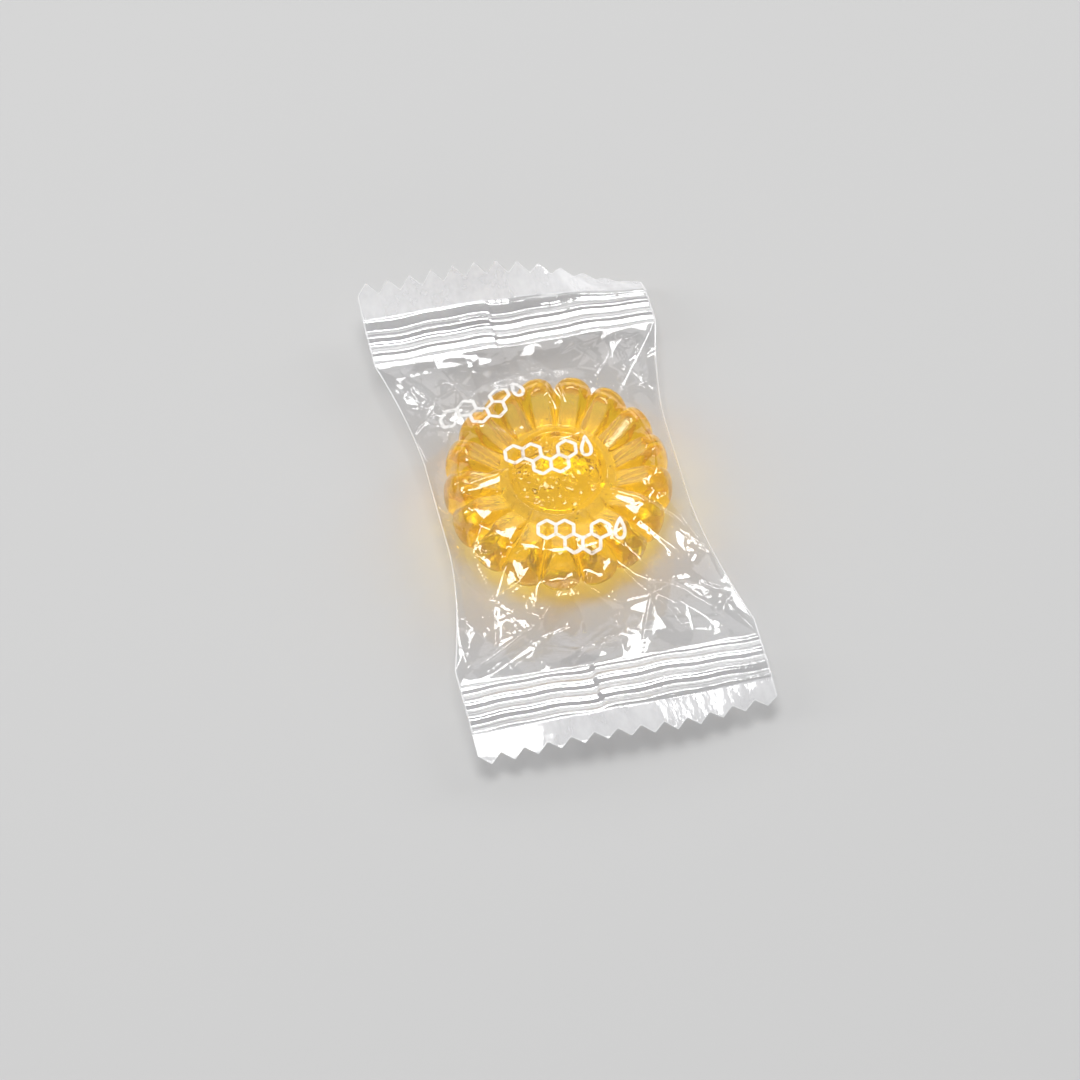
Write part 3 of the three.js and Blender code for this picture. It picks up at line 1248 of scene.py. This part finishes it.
@dataclass(frozen=True)
class Print:
    """White outlined marks printed on the film: honeycomb cells and drops. Millimetres."""

    cell: float = 1.08
    drop_half_width: float = 0.75
    drop_half_height: float = 1.15
    drop_power: float = 1.6
    drop_sides: int = 24
    drop_place: Pair = (4.1, 0.2)
    line: float = 0.37
    step: float = 0.18
    lift: float = 0.03
    places: tuple[Triple, ...] = ((-4.1, 4.4, -8.0), (-3.0, -5.2, -14.0), (-9.4, 11.4, 6.0))

    def cell_outline(self, x: float, y: float) -> list[Pair]:
        """Corners of one honeycomb cell about a middle, closed."""
        turns = [math.radians(60.0 * i + 30.0) for i in range(7)]
        return [(x + self.cell * math.cos(t), y + self.cell * math.sin(t)) for t in turns]

    def drop_outline(self, x: float, y: float) -> list[Pair]:
        """Outline of one drop about a middle, closed.

        Args:
            x: place of the middle across the motif.
            y: place of the middle up it.

        Returns:
            The outline's points.
        """
        result = []
        for i in range(self.drop_sides + 1):
            turn = FULL_TURN * i / self.drop_sides
            out = self.drop_half_width * math.sin(turn) * math.sin(turn / 2.0) ** self.drop_power
            result.append((x + out, y + self.drop_half_height * math.cos(turn)))
        return result

    def motif(self) -> list[list[Pair]]:
        """Lines of one motif: a bent row of cells with a drop past its end.

        Returns:
            The corners of each line.
        """
        wide, high = self.cell * math.sqrt(3.0), self.cell * 1.5
        cells = [(0.0, 0.0), (wide, 0.0), (wide * 1.5, -high), (wide * 2.5, -high), (wide * 3.0, 0.0)]
        drop = self.drop_outline(wide * self.drop_place[0], self.drop_place[1])
        return [self.cell_outline(*cell) for cell in cells] + [drop]

    def ribbon(self, corners: list[Pair]) -> tuple[Array, Array]:
        """Both edges of a closed line of ink.

        Args:
            corners: the line's corners.

        Returns:
            Points of its left and right edge, closely spaced.
        """
        points = np.array(corners)
        legs = np.hypot(*np.diff(points, axis=0).T)
        along = np.concatenate([[0.0], np.cumsum(legs)])
        at = np.linspace(0.0, along[-1], max(8, int(along[-1] / self.step)))
        middle = np.stack([np.interp(at, along, points[:, axis]) for axis in (0, 1)], axis=-1)
        ahead = np.gradient(middle, axis=0)
        ahead[0] = ahead[-1] = 0.5 * (ahead[0] + ahead[-1])
        size = np.hypot(*ahead.T) * 2.0 / self.line
        side = np.stack([-ahead[:, 1] / size, ahead[:, 0] / size], axis=-1)
        return middle + side, middle - side

    def build(self, film: Drape, finish: Material) -> Object:
        """Makes all the marks as one piece.

        Args:
            film: the sheet that they are printed on.
            finish: their material.

        Returns:
            The piece.
        """
        points, faces = [], []
        for x, y, turn in self.places:
            c, s = math.cos(math.radians(turn)), math.sin(math.radians(turn))
            for outline in self.motif():
                edges = np.stack(self.ribbon(outline), axis=1)
                index = np.arange(2 * len(edges)).reshape(-1, 2) + len(points)
                faces += grid_faces(index).tolist()
                for px, py in edges.reshape(-1, 2):
                    spot = (x + c * px - s * py, y + s * px + c * py)
                    points.append([*spot, film.height(*spot) + self.lift])
        return mesh_object("white_print", np.array(points), faces, finish)


@dataclass(frozen=True)
class FinSeal:
    """Strip along the back where the two edges of the film are joined and pressed flat. Millimetres."""

    left: float = -5.4
    right: float = -1.2
    lift: float = -0.07
    columns: int = 12
    waves: tuple[Pair, ...] = ((0.25, 0.21), (0.1, 0.9))

    def build(self, sheet: FilmSheet, finish: Material) -> Object:
        """Makes the strip.

        Args:
            sheet: the back sheet that it lies against.
            finish: its material.

        Returns:
            The piece.
        """
        flat_y = sheet.lattice().flat_y[:, :1] + np.zeros(self.columns)
        wander = sum(size * np.sin(flat_y * rate) for size, rate in self.waves)
        x = np.linspace(self.left, self.right, self.columns) + wander
        y = sheet.packet.skewed(x, flat_y)
        z = sheet.heights(Lattice(x / sheet.packet.half_width(flat_y), x, flat_y, y)) + self.lift
        return sheet_object("fin_seal", (x, y, z), True, finish)


@dataclass(frozen=True)
class Bubbles:
    """Fine air bubbles in the candy's middle, with a few in the petals. Millimetres."""

    in_disc: int = 150
    in_petals: int = 40
    smallest: float = 0.04
    largest: float = 0.15
    disc_share: float = 0.86
    disc_depth: float = 1.6
    petal_span: Pair = (6.5, 10.2)
    petal_depth: float = 1.0
    rings: int = 5
    sides: int = 10
    seed: int = 5

    def ball(self) -> Array:
        """Points of a ball of radius 1: its rings, and then its two poles.

        Returns:
            The points.
        """
        tilt, turn = np.meshgrid(
            np.linspace(0.0, math.pi, self.rings + 2)[1:-1],
            np.arange(self.sides) * FULL_TURN / self.sides,
            indexing="ij",
        )
        rings = [np.sin(tilt) * np.cos(turn), np.sin(tilt) * np.sin(turn), np.cos(tilt)]
        points = np.stack(rings, axis=-1).reshape(-1, 3)
        return np.concatenate([points, [[0.0, 0.0, 1.0], [0.0, 0.0, -1.0]]])

    def build(self, candy: CandyForm, middle_y: float, finish: Material) -> Object:
        """Makes all the bubbles as one piece.

        Args:
            candy: the candy that they are in.
            middle_y: where its middle lies along the packet.
            finish: their material.

        Returns:
            The piece.
        """
        draw = np.random.default_rng(self.seed)
        ball, sides = self.ball(), body_faces(self.rings, self.sides, flip=True)
        points, faces = [], []
        for number in range(self.in_disc + self.in_petals):
            if number < self.in_disc:
                distance = candy.disc_radius * self.disc_share * math.sqrt(draw.uniform())
                depth = self.disc_depth
            else:
                distance, depth = draw.uniform(*self.petal_span), self.petal_depth
            angle = draw.uniform(0.0, FULL_TURN)
            height = candy.middle + draw.uniform(-depth, depth)
            size = self.smallest + (self.largest - self.smallest) * draw.uniform() ** 3
            middle = [distance * math.sin(angle), middle_y + distance * math.cos(angle), height]
            faces += [[number * len(ball) + corner for corner in side] for side in sides]
            points.append(ball * size + middle)
        return mesh_object("candy_bubbles", np.concatenate(points), faces, finish)


def stand(name: str, data: bpy.types.ID, place: Vector, ahead: Vector) -> Object:
    """Sets up a camera or a light.

    Args:
        name: its name.
        data: its settings.
        place: where it stands, in metres.
        ahead: the direction that it faces.

    Returns:
        The object, linked to the scene.
    """
    made = bpy.data.objects.new(name, data)
    made.location = place
    made.rotation_mode = "QUATERNION"
    made.rotation_quaternion = ahead.to_track_quat("-Z", "Y")
    bpy.context.scene.collection.objects.link(made)
    return made


@dataclass(frozen=True)
class SoftBox:
    """Soft light that faces the packet: its place and size in metres and its power in watts."""

    name: str
    place: Triple
    size: Pair
    watts: float

    def build(self) -> None:
        """Makes the light."""
        data = bpy.data.lights.new(self.name, "AREA")
        data.shape = "RECTANGLE"
        data.size, data.size_y = self.size
        data.energy = self.watts
        stand(self.name, data, Vector(self.place), -Vector(self.place))


@dataclass(frozen=True)
class Studio:
    """Pale floor, soft lights and the camera at the photograph's angle."""

    elevation: float = math.radians(62.0)
    azimuth: float = math.radians(-14.5)
    distance_mm: float = 520.0
    sensor_mm: float = 36.0
    near_and_far: Pair = (0.01, 10.0)
    photo_pixels: float = 1080.0
    candy_pixel: Pair = (557.5, 484.5)
    candy_pixels_across: float = 229.0
    floor_half: float = 3000.0
    floor_level: float = -0.12
    surround: float = 0.22
    soft_boxes: tuple[SoftBox, ...] = (
        SoftBox("key_box", (-0.02, 0.09, 0.75), (0.34, 0.26), 3.7),
        SoftBox("near_fill", (-0.05, -0.7, 0.2), (1.6, 0.3), 1.5),
        SoftBox("left_strip", (-0.6, 0.15, 0.42), (0.05, 0.5), 1.3),
        SoftBox("right_strip", (0.6, 0.2, 0.4), (0.05, 0.4), 1.1),
        SoftBox("far_card", (0.1, 0.66, 0.45), (1.3, 0.36), 1.7),
    )

    def add_camera(self, target: Vector, candy_diameter: float) -> None:
        """Makes the camera.

        Args:
            target: the candy's middle, in metres.
            candy_diameter: in millimetres.
        """
        level = math.cos(self.elevation)
        sideways, forward = math.sin(self.azimuth), math.cos(self.azimuth)
        back = Vector((sideways * level, -forward * level, math.sin(self.elevation)))
        right = Vector((forward, sideways, 0.0))
        up = back.cross(right)
        pixel = candy_diameter * MM / self.candy_pixels_across
        half = self.photo_pixels / 2.0
        aim = target - right * (self.candy_pixel[0] - half) * pixel
        aim = aim - up * (half - self.candy_pixel[1]) * pixel
        data = bpy.data.cameras.new("camera")
        data.sensor_width = self.sensor_mm
        data.lens = data.sensor_width * self.distance_mm * MM / (self.photo_pixels * pixel)
        data.clip_start, data.clip_end = self.near_and_far
        place = aim + back * self.distance_mm * MM
        bpy.context.scene.camera = stand("camera", data, place, -back)

    def add_floor(self) -> None:
        """Makes the pale floor."""
        half, level = self.floor_half, self.floor_level
        corners = [(-half, -half), (half, -half), (half, half), (-half, half)]
        points = np.array([(x, y, level) for x, y in corners])
        mesh_object("floor", points, [[0, 1, 2, 3]], PaleFloor().material())

    def add_surround(self) -> None:
        """Makes the dim, even surround of the studio."""
        world = bpy.data.worlds.new("studio")
        world.use_nodes = True
        background = world.node_tree.nodes["Background"]
        background.inputs["Color"].default_value = (*[self.surround] * 3, 1.0)
        bpy.context.scene.world = world

    def build(self, target: Vector, candy_diameter: float) -> None:
        """Makes the whole studio.

        Args:
            target: the candy's middle, in metres.
            candy_diameter: in millimetres.
        """
        self.add_camera(target, candy_diameter)
        self.add_floor()
        self.add_surround()
        for box in self.soft_boxes:
            box.build()
        bpy.context.scene.view_settings.view_transform = "Standard"
        cycles = bpy.context.scene.cycles
        cycles.max_bounces = 24
        cycles.transmission_bounces = 20
        cycles.transparent_max_bounces = 40


def main() -> None:
    """Builds the packet round the frame and reports each piece."""
    logging.basicConfig(level=logging.INFO, format="%(message)s")
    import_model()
    candy_form = CandyForm()
    packet = PacketForm()
    middle = packet.candy_offset
    Studio().build(Vector((0.0, middle, packet.seam_height)) * MM, 2.0 * candy_form.radius)

    ribbed = ClearFilm("ribbed_film", haze=0.05, wrinkle_mm=0.05, wrinkle_size=1.2, plies=3.0)
    film = {
        Zone.LOOSE: ClearFilm().material(),
        Zone.RIBBED: ribbed.material(),
        Zone.WELDED: ClearFilm("welded_film", haze=0.28, wrinkle_mm=0.09, wrinkle_size=1.6).material(),
        # Strong white milk on the outermost faces is a painted highlight along the film's cut edges.
        Zone.EDGE: ClearFilm("film_edge", haze=0.45, softness=0.6).material(),
    }
    front = FilmSheet(packet, candy_form, Side.FRONT, rows=270, columns=200, seed=11).build(film)
    back_sheet = FilmSheet(packet, candy_form, Side.BACK, rows=200, columns=150, seed=23)
    back = back_sheet.build(film)
    fin = FinSeal().build(back_sheet, film[Zone.LOOSE])
    marks = Print().build(Drape(front), WhiteInk().material())
    candy = candy_form.build(middle, BoiledSugar().material())
    bubbles = Bubbles().build(candy_form, middle, AirInSugar().material())
    slots = {"clear_film": (front, back, fin), "honey_candy": (candy, bubbles), "white_print": (marks,)}
    for slot, pieces in slots.items():
        for piece in pieces:
            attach(piece, "root")
            LOG.info("%s: %d faces", piece.name, len(piece.data.polygons))
    for piece in (front, back, candy):
        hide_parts(WRAPPER_NODE)


if __name__ == "__main__":
    main()
